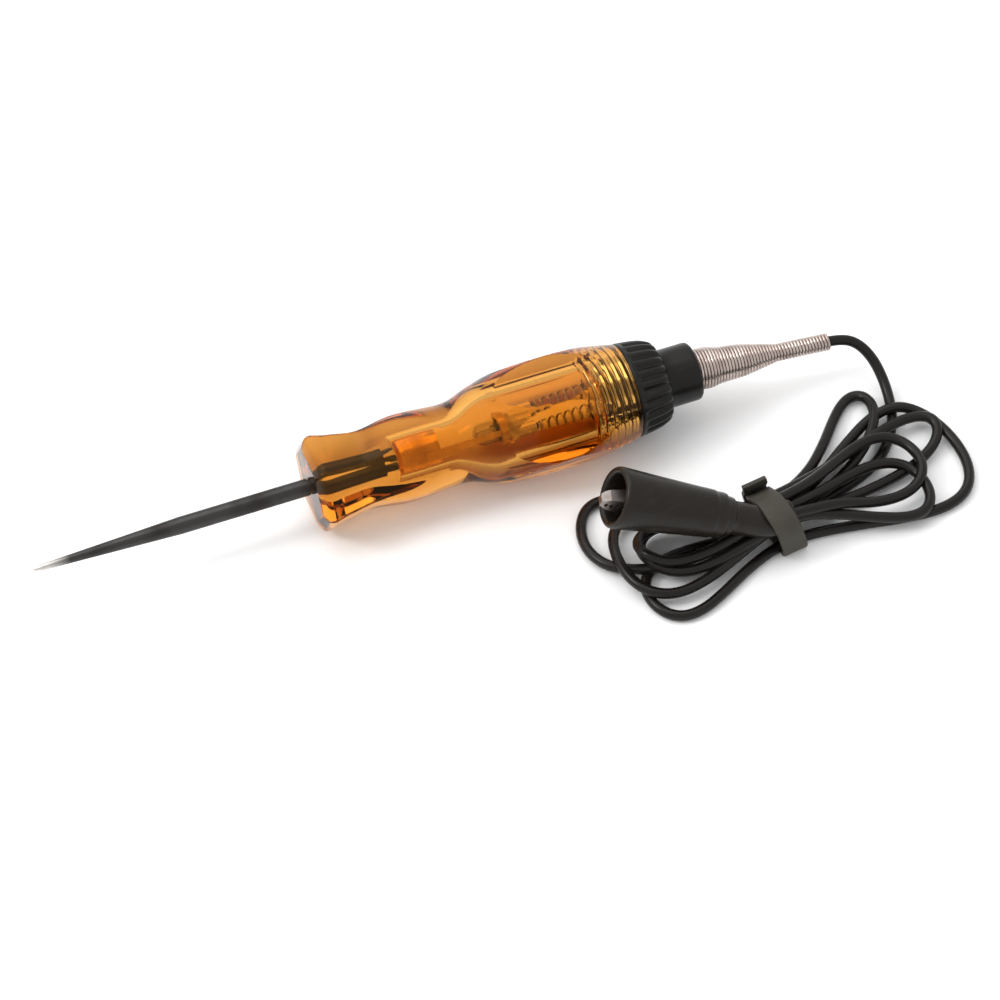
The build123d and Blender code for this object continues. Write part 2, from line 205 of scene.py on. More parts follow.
lead_line = bpy.data.curves.new("lead", "CURVE")
lead_line.dimensions = "3D"
lead_line.bevel_depth = LEAD_THICK / 2 * MM
lead_line.bevel_resolution = 5
lead_line.resolution_u = 6
lead_line.use_fill_caps = True
lead_spline = lead_line.splines.new("NURBS")
lead_spline.points.add(len(lead_plan) - 1)
for point, plan, height in zip(lead_spline.points, lead_plan, heights):
    point.co = (plan.x * MM, plan.y * MM, height * MM, 1)
lead_spline.order_u = 3
lead_spline.use_endpoint_u = True
lead = bpy.data.objects.new("lead", lead_line)
bpy.context.scene.collection.objects.link(lead)


def group_sockets(group, colours, numbers):
    """Inputs of a finish group, and the colour, roughness and height that it gives."""
    for name in colours:
        group.interface.new_socket(name, in_out="INPUT", socket_type="NodeSocketColor")
    for name in numbers:
        group.interface.new_socket(name, in_out="INPUT", socket_type="NodeSocketFloat")
    group.interface.new_socket("Colour", in_out="OUTPUT", socket_type="NodeSocketColor")
    for name in ("Roughness", "Height"):
        group.interface.new_socket(name, in_out="OUTPUT", socket_type="NodeSocketFloat")


def noise(tree, place, scale, detail):
    """Noise node on a place; its scale is per metre, a number or a socket."""
    node = tree.nodes.new("ShaderNodeTexNoise")
    node.inputs["Detail"].default_value = detail
    tree.links.new(place, node.inputs["Vector"])
    if isinstance(scale, bpy.types.NodeSocket):
        tree.links.new(scale, node.inputs["Scale"])
    else:
        node.inputs["Scale"].default_value = scale
    return node


def map_range(tree, value, from_min, from_max, to_min, to_max):
    """Node that maps a value's range to another one."""
    node = tree.nodes.new("ShaderNodeMapRange")
    node.inputs["From Min"].default_value = from_min
    node.inputs["From Max"].default_value = from_max
    node.inputs["To Min"].default_value = to_min
    node.inputs["To Max"].default_value = to_max
    tree.links.new(value, node.inputs["Value"])
    return node


def moulded_grain():
    """Node group: mould texture, faint mottling and handling scuffs of a plastic or a rubber."""
    group = bpy.data.node_groups.new("moulded_grain", "ShaderNodeTree")
    group_sockets(group, ("Colour", "Scuffed"), ("Grain", "Mottle", "Roughness"))
    nodes, link = group.nodes, group.links.new
    given = nodes.new("NodeGroupInput")
    made = nodes.new("NodeGroupOutput")
    place = nodes.new("ShaderNodeTexCoord").outputs["Object"]
    grain = noise(group, place, given.outputs["Grain"], 3)
    mottle = noise(group, place, given.outputs["Mottle"], 4)
    stretch = nodes.new("ShaderNodeMapping")
    stretch.inputs["Scale"].default_value = (0.2, 1, 1)
    stretch.inputs["Rotation"].default_value = (0.3, 0.5, 0.7)
    link(place, stretch.inputs["Vector"])
    scuff = noise(group, stretch.outputs["Vector"], 900, 5)
    scuff_mask = map_range(group, scuff.outputs["Fac"], 0.56, 0.74, 0, 1)
    wear = nodes.new("ShaderNodeMath")
    wear.operation = "MULTIPLY_ADD"
    wear.inputs[1].default_value = 0.45
    link(scuff_mask.outputs["Result"], wear.inputs[0])
    mottle_share = map_range(group, mottle.outputs["Fac"], 0.35, 0.75, 0, 0.5)
    link(mottle_share.outputs["Result"], wear.inputs[2])
    colour = nodes.new("ShaderNodeMix")
    colour.data_type = "RGBA"
    link(wear.outputs["Value"], colour.inputs["Factor"])
    link(given.outputs["Colour"], colour.inputs["A"])
    link(given.outputs["Scuffed"], colour.inputs["B"])
    link(colour.outputs["Result"], made.inputs["Colour"])
    rough = nodes.new("ShaderNodeMath")
    rough.operation = "MULTIPLY_ADD"
    rough.inputs[1].default_value = 0.18
    link(wear.outputs["Value"], rough.inputs[0])
    link(given.outputs["Roughness"], rough.inputs[2])
    link(rough.outputs["Value"], made.inputs["Roughness"])
    link(grain.outputs["Fac"], made.inputs["Height"])
    return group


MOULDED_GRAIN = moulded_grain()


def moulded(name, colour, scuffed, grain, mottle, roughness, depth):
    """Material of a moulded part; grain and mottle are per metre, depth is the grain's in mm."""
    material = bpy.data.materials.new(name)
    material.use_nodes = True
    nodes, link = material.node_tree.nodes, material.node_tree.links.new
    shader = nodes["Principled BSDF"]
    shader.inputs["IOR"].default_value = 1.45
    shader.inputs["Specular IOR Level"].default_value = 0.26
    surface = nodes.new("ShaderNodeGroup")
    surface.node_tree = MOULDED_GRAIN
    surface.inputs["Colour"].default_value = (*colour, 1)
    surface.inputs["Scuffed"].default_value = (*scuffed, 1)
    surface.inputs["Grain"].default_value = grain
    surface.inputs["Mottle"].default_value = mottle
    surface.inputs["Roughness"].default_value = roughness
    bump = nodes.new("ShaderNodeBump")
    bump.inputs["Strength"].default_value = 0.6
    bump.inputs["Distance"].default_value = depth * MM
    link(surface.outputs["Colour"], shader.inputs["Base Color"])
    link(surface.outputs["Roughness"], shader.inputs["Roughness"])
    link(surface.outputs["Height"], bump.inputs["Height"])
    link(bump.outputs["Normal"], shader.inputs["Normal"])
    return material


def finish_nodes(material, *nodes):
    """Gives CAD nodes a material in place of their plain one."""
    for node in nodes:
        for place in frame["nodes"][node].material_slots:
            place.material = material


lead_pvc = moulded(
    "lead_pvc", colour=(0.006, 0.0045, 0.0038), scuffed=(0.016, 0.013, 0.011),
    grain=2600, mottle=60, roughness=0.24, depth=0.02)
lead_line.materials.append(lead_pvc)
finish_nodes(lead_pvc, "lead_inner", "lead_tail")
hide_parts("lead_tube", "lead_hank")
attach(lead, "lead_end")

# ---- rubber tie ----
# A flat black rubber strap pulled round the hank's waist and the neck of the boot. Its free end
# stands up as a short tab on the far side, and it runs askew over the bundle.

TIE_WIDTH = 6.6
TIE_THICK = 1.2

# The strap's middle line round the bundle, from its inner end to the tab: across the bundle, then up
strap_line = [
    (7.0, 7.6), (4.6, 9.8), (1.6, 12.3), (-0.8, 13.8), (-3.6, 14.1), (-6.0, 13.5), (-7.8, 11.9),
    (-8.6, 9.6), (-8.7, 6.4), (-8.6, 3.2), (-7.9, 1.3), (-6.2, 0.62), (-2.0, 0.6), (3.0, 0.6),
    (6.6, 0.62), (8.6, 1.5), (9.4, 3.8), (9.2, 6.4), (8.2, 8.7), (7.4, 10.4), (7.3, 12.4),
]
STRAP_SKEW = 2.6           # how far the strap drifts along the bundle for 10 mm of height
STRAP_BACK = 1.4           # how far the strap lies toward the clip from the tie's middle
STRAP_MID_HEIGHT = 7
STRAP_STRIPS = 6


def smooth_line(points, steps):
    """Points of a smooth line through the given points, each stretch cut in steps."""
    ends = [Vector(p) for p in points]
    ends = [ends[0] * 2 - ends[1]] + ends + [ends[-1] * 2 - ends[-2]]
    line = []
    for before, start, end, after in zip(ends, ends[1:], ends[2:], ends[3:]):
        pull_out = start + (end - before) / 6
        pull_in = end - (after - start) / 6
        line += geometry.interpolate_bezier(start, pull_out, pull_in, end, steps + 1)[:-1]
    return line + [ends[-2]]


def new_piece(name, vertices, edges, faces=()):
    """Object made of the given mesh, alone in the selection, ready for edit mode."""
    data = bpy.data.meshes.new(name)
    data.from_pydata(vertices, edges, list(faces))
    piece = bpy.data.objects.new(name, data)
    bpy.context.scene.collection.objects.link(piece)
    bpy.ops.object.select_all(action="DESELECT")
    bpy.context.view_layer.objects.active = piece
    piece.select_set(True)
    return piece


def apply_modifier(piece, name, kind, **settings):
    """Adds a modifier with the given settings and applies it."""
    modifier = piece.modifiers.new(name, kind)
    for setting, value in settings.items():
        setattr(modifier, setting, value)
    bpy.context.view_layer.objects.active = piece
    bpy.ops.object.modifier_apply(modifier=name)


strap_near = []
for across, up in smooth_line(strap_line, 4):
    drift = -TIE_WIDTH / 2 - STRAP_BACK - STRAP_SKEW * (up - STRAP_MID_HEIGHT) / 10
    place = TIE_AT + bundle_across * across + bundle_along * drift
    strap_near.append(Vector((*place, up)) * MM)
tie = new_piece("rubber_tie", strap_near, [(n, n + 1) for n in range(len(strap_near) - 1)])
strip_wide = Vector((*bundle_along, 0)) * TIE_WIDTH / STRAP_STRIPS * MM
bpy.ops.object.mode_set(mode="EDIT")
bpy.ops.mesh.select_all(action="SELECT")
for _ in range(STRAP_STRIPS):
    bpy.ops.mesh.extrude_region_move(TRANSFORM_OT_translate={"value": strip_wide})
bpy.ops.mesh.select_all(action="SELECT")
bpy.ops.mesh.normals_make_consistent(inside=False)
bpy.ops.object.mode_set(mode="OBJECT")
apply_modifier(tie, "strap", "SOLIDIFY", thickness=TIE_THICK * 0.92 * MM, offset=0)
apply_modifier(tie, "moulded_edges", "BEVEL", width=0.22 * MM, segments=3,
               angle_limit=math.radians(50))
bpy.ops.object.shade_smooth()
tie_rubber = moulded(
    "tie_rubber", colour=(0.044, 0.040, 0.031), scuffed=(0.070, 0.064, 0.051),
    grain=1900, mottle=120, roughness=0.6, depth=0.05)
tie.data.materials.append(tie_rubber)
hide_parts("hank_tie")
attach(tie, "lead_end")

# ---- clip boot ----
# Soft black rubber sleeve moulded in one piece: a flared mouth with a thick lip, a stepped shoulder
# and a neck that bends level where the tie holds it down. It is pushed over the clip from the lead.

BOOT_MOUTH = Vector((31.0, -36.6, 22.6))
BOOT_HEADING = math.radians(163)
BOOT_RISE = math.radians(20)
MOUTH_SKEW = 0.12          # the mouth is trimmed a little askew
MOUTH_REACH = 14           # the skew dies away this far from the mouth
NECK_START = 28.5          # from the mouth, where the neck begins to bend away from the axis
NECK_LEVEL = 9.5           # height of the neck's level end

boot_out = Vector((math.cos(BOOT_RISE) * math.cos(BOOT_HEADING),
                   math.cos(BOOT_RISE) * math.sin(BOOT_HEADING), math.sin(BOOT_RISE)))
boot_up = Vector((-math.sin(BOOT_RISE) * math.cos(BOOT_HEADING),
                  -math.sin(BOOT_RISE) * math.sin(BOOT_HEADING), math.cos(BOOT_RISE)))
boot_aside = boot_up.cross(boot_out)
boot_axes = Matrix((boot_out, boot_aside, boot_up)).transposed()

# Outline from the inside of the mouth round its lip to the end of the neck: along, then radius
boot_outline = (
    [(-25.5, 0), (-25.5, 2.4), (-25.4, 4.4), (-24.8, 4.76)]
    + [(x, 5.8 + 0.039 * x) for x in range(-22, -1, 4)]
    + [(0.1, 5.82), (0.55, 6.0), (0.78, 6.35), (0.85, 6.7), (0.78, 7.05), (0.5, 7.35)]
    + [(0.1, 7.5), (-0.6, 7.52), (-4, 7.24), (-8, 6.92), (-12, 6.62), (-16, 6.32), (-20, 6.04)]
    + [(-23.4, 5.84), (-24.0, 5.8), (-24.3, 5.62), (-24.6, 5.58), (-26.4, 5.5), (-26.9, 5.42)]
    + [(-27.15, 5.2), (-27.2, 4.95), (-27.6, 4.86), (-28.6, 4.78), (-29.0, 4.62), (-29.2, 4.3)]
    + [(-29.5, 4.12)]
    + [(-30 - n, 4.0 - 0.01 * n) for n in range(15)]
    + [(-44.8, 3.8), (-45.2, 3.65), (-45.4, 3.3), (-45.4, 1.2), (-45.4, 0)]
)


def spun(name, outline, steps):
    """Closed shell turned from an outline of (along, radius) about the X axis."""
    points = [(x * MM, 0, radius * MM) for x, radius in outline]
    piece = new_piece(name, points, [(n, n + 1) for n in range(len(points) - 1)])
    bpy.ops.object.mode_set(mode="EDIT")
    bpy.ops.mesh.select_all(action="SELECT")
    bpy.ops.mesh.spin(steps=steps, angle=2 * math.pi, center=(0, 0, 0), axis=(1, 0, 0))
    bpy.ops.mesh.select_all(action="SELECT")
    bpy.ops.mesh.remove_doubles(threshold=2e-6)
    bpy.ops.mesh.normals_make_consistent(inside=False)
    bpy.ops.object.mode_set(mode="OBJECT")
    bpy.ops.object.shade_smooth()
    return piece


def neck_centre(distance):
    """Point and direction on the neck's centre line: straight, then bent round to level."""
    start = BOOT_MOUTH - boot_out * NECK_START
    fall = (start.z - NECK_LEVEL) / boot_out.z
    bend = start - boot_out * fall
    level = Vector((9.4, 0.2, 0)).normalized()
    reach = 2.6
    if distance <= fall - reach:
        return start - boot_out * distance, -boot_out
    if distance >= fall + reach:
        return bend + level * (distance - fall), level
    t = (distance - fall + reach) / (2 * reach)
    before, after = bend - -boot_out * reach, bend + level * reach
    point = before * (1 - t) ** 2 + bend * 2 * t * (1 - t) + after * t ** 2
    return point, ((bend - before) * (1 - t) + (after - bend) * t).normalized()


boot = spun("clip_boot_rubber", boot_outline, 72)
for vertex in boot.data.vertices:
    along, aside, up = vertex.co / MM
    if along > -NECK_START:
        askew = MOUTH_SKEW * max(0, 1 + along / MOUTH_REACH) * (0.65 * aside + 0.76 * up)
        vertex.co = (BOOT_MOUTH + boot_axes @ Vector((along - askew, aside, up))) * MM
    else:
        centre, ahead = neck_centre(-NECK_START - along)
        turn = (-boot_out).rotation_difference(ahead)
        vertex.co = (centre + turn @ (boot_axes @ Vector((0, aside, up)))) * MM
boot_rubber = moulded(
    "boot_rubber", colour=(0.010, 0.0075, 0.0055), scuffed=(0.020, 0.016, 0.012),
    grain=1500, mottle=70, roughness=0.26, depth=0.02)
boot.data.materials.append(boot_rubber)
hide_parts("clip_boot")
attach(boot, "lead_end")

# ---- ground clip ----
# Small alligator clip of folded, nickel-plated steel sheet: two toothed jaws on a rivet with a torsion
# spring, crimped on the lead. Only its nose shows in the boot's mouth.


def drawn_metal():
    """Node group: draw lines along the tool and tarnish in soft patches on a metal."""
    group = bpy.data.node_groups.new("drawn_metal", "ShaderNodeTree")
    for name, kind in (("Colour", "NodeSocketColor"), ("Tarnish", "NodeSocketColor"),
                       ("Lines", "NodeSocketFloat"), ("Patches", "NodeSocketFloat"),
                       ("Roughness", "NodeSocketFloat")):
        group.interface.new_socket(name, in_out="INPUT", socket_type=kind)
    for name, kind in (("Colour", "NodeSocketColor"), ("Roughness", "NodeSocketFloat"),
                       ("Height", "NodeSocketFloat")):
        group.interface.new_socket(name, in_out="OUTPUT", socket_type=kind)
    nodes, link = group.nodes, group.links.new
    given = nodes.new("NodeGroupInput")
    made = nodes.new("NodeGroupOutput")
    place = nodes.new("ShaderNodeTexCoord")
    stretch = nodes.new("ShaderNodeMapping")
    stretch.inputs["Scale"].default_value = (0.03, 1, 1)
    link(place.outputs["Object"], stretch.inputs["Vector"])
    lines = nodes.new("ShaderNodeTexNoise")
    lines.inputs["Detail"].default_value = 4
    link(stretch.outputs["Vector"], lines.inputs["Vector"])
    link(given.outputs["Lines"], lines.inputs["Scale"])
    patches = nodes.new("ShaderNodeTexNoise")
    patches.inputs["Detail"].default_value = 5
    link(place.outputs["Object"], patches.inputs["Vector"])
    link(given.outputs["Patches"], patches.inputs["Scale"])
    tarnish = nodes.new("ShaderNodeMapRange")
    tarnish.inputs["From Min"].default_value = 0.42
    tarnish.inputs["From Max"].default_value = 0.72
    link(patches.outputs["Fac"], tarnish.inputs["Value"])
    colour = nodes.new("ShaderNodeMix")
    colour.data_type = "RGBA"
    link(tarnish.outputs["Result"], colour.inputs["Factor"])
    link(given.outputs["Colour"], colour.inputs["A"])
    link(given.outputs["Tarnish"], colour.inputs["B"])
    link(colour.outputs["Result"], made.inputs["Colour"])
    rough = nodes.new("ShaderNodeMath")
    rough.operation = "MULTIPLY_ADD"
    rough.inputs[1].default_value = 0.16
    link(tarnish.outputs["Result"], rough.inputs[0])
    link(given.outputs["Roughness"], rough.inputs[2])
    link(rough.outputs["Value"], made.inputs["Roughness"])
    link(lines.outputs["Fac"], made.inputs["Height"])
    return group


DRAWN_METAL = drawn_metal()


def metal(name, colour, tarnish, lines, patches, roughness, depth):
    """Material of a bare or plated metal; lines and patches are per metre, and depth is in mm."""
    material = bpy.data.materials.new(name)
    material.use_nodes = True
    nodes, link = material.node_tree.nodes, material.node_tree.links.new
    shader = nodes["Principled BSDF"]
    shader.inputs["Metallic"].default_value = 1
    surface = nodes.new("ShaderNodeGroup")
    surface.node_tree = DRAWN_METAL
    surface.inputs["Colour"].default_value = (*colour, 1)
    surface.inputs["Tarnish"].default_value = (*tarnish, 1)
    surface.inputs["Lines"].default_value = lines
    surface.inputs["Patches"].default_value = patches
    surface.inputs["Roughness"].default_value = roughness
    bump = nodes.new("ShaderNodeBump")
    bump.inputs["Strength"].default_value = 0.4
    bump.inputs["Distance"].default_value = depth * MM
    link(surface.outputs["Colour"], shader.inputs["Base Color"])
    link(surface.outputs["Roughness"], shader.inputs["Roughness"])
    link(surface.outputs["Height"], bump.inputs["Height"])
    link(bump.outputs["Normal"], shader.inputs["Normal"])
    return material


# The clip's nickel is painted much darker than bright nickel: painted shade for the inside of the boot's
# mouth, where the jaws and rivet sit.
clip_nickel = metal("clip_nickel", (0.26, 0.23, 0.215), (0.17, 0.14, 0.13), 3000, 350, 0.34, 0.01)
finish_nodes(clip_nickel, "clip_lower_jaw", "clip_upper_jaw", "clip_rivet")
clip_spring_steel = metal("spring_steel", (0.52, 0.50, 0.48), (0.30, 0.26, 0.24), 4000, 300, 0.3, 0.01)
finish_nodes(clip_spring_steel, "clip_spring")
bare_copper = metal("bare_copper", (0.86, 0.43, 0.26), (0.52, 0.25, 0.15), 6000, 500, 0.3, 0.02)
finish_nodes(bare_copper, "tail_conductor", "lead_conductor")

# ---- strain relief ----
# Close-wound spring of nickel-plated wire, stepped down in four sizes to grip the lead. Its first
# turns are held in the cap's socket, and it sags a little under the lead.

WIRE_THICK = 0.82
RELIEF_START = Vector((66.5, 0, 13.1))
RELIEF_END_X = 102.2
SAG_DOWN = math.radians(3.4)
SAG_SIDE = math.radians(3.2)

# Distance along the spring and its outer radius
relief_steps = [(-5.5, 5.2), (3.7, 5.2), (6.1, 4.6), (12.5, 4.1), (14.1, 3.8), (17.3, 3.15), (21.6, 2.25),
                (40, 2.25)]


def wound_wire(name, line, thick, sides=4):
    """Round wire along a line of points, as a curve."""
    data = bpy.data.curves.new(name, "CURVE")
    data.dimensions = "3D"
    data.bevel_depth = thick / 2 * MM
    data.bevel_resolution = sides // 2
    data.use_fill_caps = True
    spline = data.splines.new("POLY")
    spline.points.add(len(line) - 1)
    for point, place in zip(spline.points, line):
        point.co = (*(Vector(place) * MM), 1)
    spline.use_smooth = True
    wire = bpy.data.objects.new(name, data)
    bpy.context.scene.collection.objects.link(wire)
    return wire


def stepped(steps, distance):
    """Value at a distance, read off a list of (distance, value) steps."""
    for (d0, v0), (d1, v1) in zip(steps, steps[1:]):
        if distance <= d1:
            return v0 + (v1 - v0) * (distance - d0) / (d1 - d0)
    return steps[-1][1]


relief_ahead = Vector((math.cos(SAG_DOWN) * math.cos(SAG_SIDE), -math.cos(SAG_DOWN) * math.sin(SAG_SIDE),
                       -math.sin(SAG_DOWN)))
relief_length = (RELIEF_END_X - RELIEF_START.x) / relief_ahead.x
relief_up = relief_ahead.cross(Vector((0, 1, 0))).normalized() * -1
relief_aside = relief_up.cross(relief_ahead)
relief_line = []
relief_steps_per_turn = 22
relief_pitch = WIRE_THICK * 1.015
distance = -5.0
while distance < relief_length - WIRE_THICK / 2:
    ahead = relief_ahead if distance > 0 else Vector((1, 0, 0))
    angle = 2 * math.pi * distance / relief_pitch
    radius = stepped(relief_steps, distance) - WIRE_THICK / 2
    relief_line.append(RELIEF_START + ahead * distance
                       + (relief_up * math.sin(angle) + relief_aside * math.cos(angle)) * radius)
    distance += relief_pitch / relief_steps_per_turn
relief = wound_wire("strain_relief_wire", relief_line, WIRE_THICK)
relief_nickel = metal("relief_nickel", (0.56, 0.48, 0.44), (0.38, 0.30, 0.27), 2500, 260, 0.22, 0.01)
relief.data.materials.append(relief_nickel)
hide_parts("strain_relief_spring")
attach(relief, "lead_end")

# ---- screw cap ----
# Black moulded cap that screws into the handle: a ribbed gripping ring, a plain neck round the strain
# relief's socket, and a spigot with a 2 mm pitch thread that shows through the handle.

TOOL_AXIS_HEIGHT = 13.1
TIP_X = -102.2
THREAD_PITCH = 2.0
CAP_THREAD_DEPTH = 0.75
HANDLE_THREAD_DEPTH = 1.1


def thread_rise(along, angle):
    """Share of the thread's full depth, 0 to 1, at a place along and round the axis."""
    turns = (along / THREAD_PITCH - angle / (2 * math.pi)) % 1
    return 1 - abs(2 * turns - 1)


def on_tool_axis(piece):
    """Moves a piece turned about X from station values to its place on the tool."""
    for vertex in piece.data.vertices:
        vertex.co += Vector((TIP_X, 0, TOOL_AXIS_HEIGHT)) * MM


CAP_RIBS = 24
RIB_DEPTH = 0.8

cap_outline = (
    [(156.5, 6.9), (142.0, 6.9), (142.0, 7.4), (142.3, 7.7)]
    + [(142.5 + n / 6, 8.25) for n in range(48)]
    + [(150.5, 8.25), (150.64, 8.3), (150.65, 11.4), (150.72, 11.68), (150.95, 11.83), (151.2, 11.84)]
    + smooth_line([(151.3, 11.83), (153.2, 11.6), (155.4, 11.3), (157.6, 10.8), (159.3, 9.9), (160.0, 8.6)], 5)
    + [(160.0, 8.1), (160.0, 7.55), (160.06, 7.4), (160.3, 7.3), (162.5, 7.3), (165, 7.3), (167.4, 7.3)]
    + [(168.0, 7.26), (168.35, 7.12), (168.6, 6.85), (168.7, 6.5), (168.7, 5.7), (168.6, 5.42), (168.3, 5.28)]
    + [(162.5, 5.28), (162.5, 1.6), (156.5, 1.6), (156.5, 6.9)]
)
cap = spun("screw_cap", [tuple(p) for p in cap_outline], CAP_RIBS * 10)
for vertex in cap.data.vertices:
    along, aside, up = vertex.co / MM
    radius = math.hypot(aside, up)
    angle = math.atan2(up, aside)
    reshaped = radius
    if abs(radius - 8.25) < 0.01 and along < 150.55:
        runout = min(1, max(0, (along - 142.5) / 1.0))
        reshaped = 7.88 + CAP_THREAD_DEPTH * thread_rise(along, angle) * runout
    elif radius > 8.5 and along < 160.01:
        run_in = min(1, max(0, (along - 151.6) / 0.9))
        groove = (0.5 + 0.5 * math.cos(CAP_RIBS * angle)) ** 1.6
        reshaped = max(8.55, radius - RIB_DEPTH * groove * run_in)
    vertex.co.y *= reshaped / radius
    vertex.co.z *= reshaped / radius
on_tool_axis(cap)
cap_plastic = moulded("cap_plastic", (0.005, 0.0042, 0.0035), (0.012, 0.010, 0.009), 2200, 90, 0.3, 0.02)
cap.data.materials.append(cap_plastic)
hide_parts("end_cap")
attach(cap, "end_cap")

# ---- handle ----
# Clear amber handle, moulded round the probe's shank: a six-sided flare at the front, a waist, and a
# barrel with six flats. It is bored for the lamp, and its mouth is threaded for the cap.

FLAT_APOTHEM = 13.1
FACET_DEPTH = 0.885       # facet's distance from the axis at the flare, as a share of the radius
FACETS_FADE = (82, 105)   # the front facets fade out between these stations
THREAD_START = 138.8

handle_side = [(71.8, 12.5), (76.5, 11.2), (83.2, 9.8), (92.3, 10.5), (105.5, 10.05), (112.9, 12.1),
               (121.7, 14.2), (131.6, 14.9), (138.0, 14.3), (144.0, 13.2), (150.3, 11.93)]
handle_outline = (
    [(69.0, 0), (69.0, 9.5), (69.06, 9.85), (69.3, 10.35), (70.0, 11.7), (70.5, 12.2), (71.1, 12.45)]
    + [tuple(p) for p in smooth_line(handle_side, 10)]
    + [(150.5, 11.85), (150.6, 11.65), (150.6, 8.9)]
    + [(150.6 - n / 6, 8.55) for n in range(1, 71)]
    + [(THREAD_START, 8.2), (132, 8.2), (125, 8.2), (119, 8.2)]
    + [(103 + 14 * n / 12, 4.2 + 4 * (n / 12) ** 2 * (3 - n / 6)) for n in range(12, -1, -1)]
    + [(100, 4.2), (90.8, 4.2), (90.5, 4.1), (90.4, 3.8), (90.4, 0)]
)
handle = spun("amber_handle", handle_outline, 168)
for vertex in handle.data.vertices:
    along, aside, up = vertex.co / MM
    radius = math.hypot(aside, up)
    if abs(radius - 8.55) < 0.01 and THREAD_START < along < 150.55:
        runout = min(1, (along - THREAD_START) / 1.5)
        cut = 8.2 + HANDLE_THREAD_DEPTH * thread_rise(along, math.atan2(up, aside)) * runout
        vertex.co.y *= cut / radius
        vertex.co.z *= cut / radius


def front_facets(along, radius, angle):
    """Radius of the six-sided front, whose facets fade out into the round waist."""
    fade = min(1, max(0, (along - FACETS_FADE[0]) / (FACETS_FADE[1] - FACETS_FADE[0])))
    depth = FACET_DEPTH + (1 - FACET_DEPTH) * fade
    swell = math.sin(math.pi * min(1, max(0, (along - 75) / 30)))
    widened = radius * (1 + 0.055 * swell)
    aside = (angle - math.radians(60)) % math.radians(60) - math.radians(30)
    return min(widened, widened * depth / math.cos(aside))


for vertex in handle.data.vertices:
    along, aside, up = vertex.co / MM
    radius = math.hypot(aside, up)
    if along < FACETS_FADE[1] and radius > 4.5 + 0.1 * (along > 90):
        faceted = front_facets(along, radius, math.atan2(up, aside))
        vertex.co.y *= faceted / radius
        vertex.co.z *= faceted / radius


def cut_flat(piece, angle, apothem, first, last):
    """Planes a flat on the stretch of a turned piece between two stations."""
    for face in piece.data.polygons:
        face.select = first < face.center.x / MM < last
    bpy.ops.object.mode_set(mode="EDIT")
    outward = Vector((0, math.cos(angle), math.sin(angle)))
    bpy.ops.mesh.bisect(plane_co=outward * apothem * MM, plane_no=outward, use_fill=True,
                        clear_outer=True, threshold=1e-7)
    bpy.ops.object.mode_set(mode="OBJECT")


bpy.context.view_layer.objects.active = handle
bpy.ops.object.mode_set(mode="EDIT")
bpy.ops.mesh.select_mode(type="FACE")
bpy.ops.object.mode_set(mode="OBJECT")
for side in range(6):
    flat_angle = math.radians(90 + 60 * side)
    cut_flat(handle, flat_angle, FLAT_APOTHEM, 100, 151)
bpy.ops.object.mode_set(mode="EDIT")
bpy.ops.mesh.select_all(action="SELECT")
bpy.ops.mesh.normals_make_consistent(inside=False)
bpy.ops.object.mode_set(mode="OBJECT")
on_tool_axis(handle)
apply_modifier(handle, "true_flats", "WEIGHTED_NORMAL", weight=90)

amber_plastic = bpy.data.materials.new("amber_plastic")
amber_plastic.use_nodes = True
amber_nodes, amber_link = amber_plastic.node_tree.nodes, amber_plastic.node_tree.links.new
amber_shader = amber_nodes["Principled BSDF"]
amber_shader.inputs["Base Color"].default_value = (0.82, 0.53, 0.20, 1)
amber_shader.inputs["IOR"].default_value = 1.48
amber_shader.inputs["Transmission Weight"].default_value = 1
amber_shader.inputs["Specular Tint"].default_value = (0.5, 0.32, 0.16, 1)
amber_place = amber_nodes.new("ShaderNodeTexCoord")
amber_haze = amber_nodes.new("ShaderNodeTexNoise")
amber_haze.inputs["Scale"].default_value = 180
amber_haze.inputs["Detail"].default_value = 3
amber_link(amber_place.outputs["Object"], amber_haze.inputs["Vector"])
amber_rough = amber_nodes.new("ShaderNodeMapRange")
amber_rough.inputs["From Min"].default_value = 0.4
amber_rough.inputs["From Max"].default_value = 0.8
amber_rough.inputs["To Min"].default_value = 0.0
amber_rough.inputs["To Max"].default_value = 0.035
amber_link(amber_haze.outputs["Fac"], amber_rough.inputs["Value"])
amber_link(amber_rough.outputs["Result"], amber_shader.inputs["Roughness"])
amber_bump = amber_nodes.new("ShaderNodeBump")
amber_bump.inputs["Strength"].default_value = 0.25
amber_bump.inputs["Distance"].default_value = 0.05 * MM
amber_link(amber_haze.outputs["Fac"], amber_bump.inputs["Height"])
amber_link(amber_bump.outputs["Normal"], amber_shader.inputs["Normal"])
amber_depth = amber_nodes.new("ShaderNodeVolumeAbsorption")
amber_depth.inputs["Color"].default_value = (0.893, 0.632, 0.085, 1)
amber_depth.inputs["Density"].default_value = 95
amber_link(amber_depth.outputs["Volume"], amber_nodes["Material Output"].inputs["Volume"])
handle.data.materials.clear()
handle.data.materials.append(amber_plastic)
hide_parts("handle")
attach(handle, "handle")

# ---- probe ----
# Ground steel pin, blackened but for its needle point, which is worn bright. Its shank is moulded in
# the handle and ends in a nub that the brass thimble closes on.

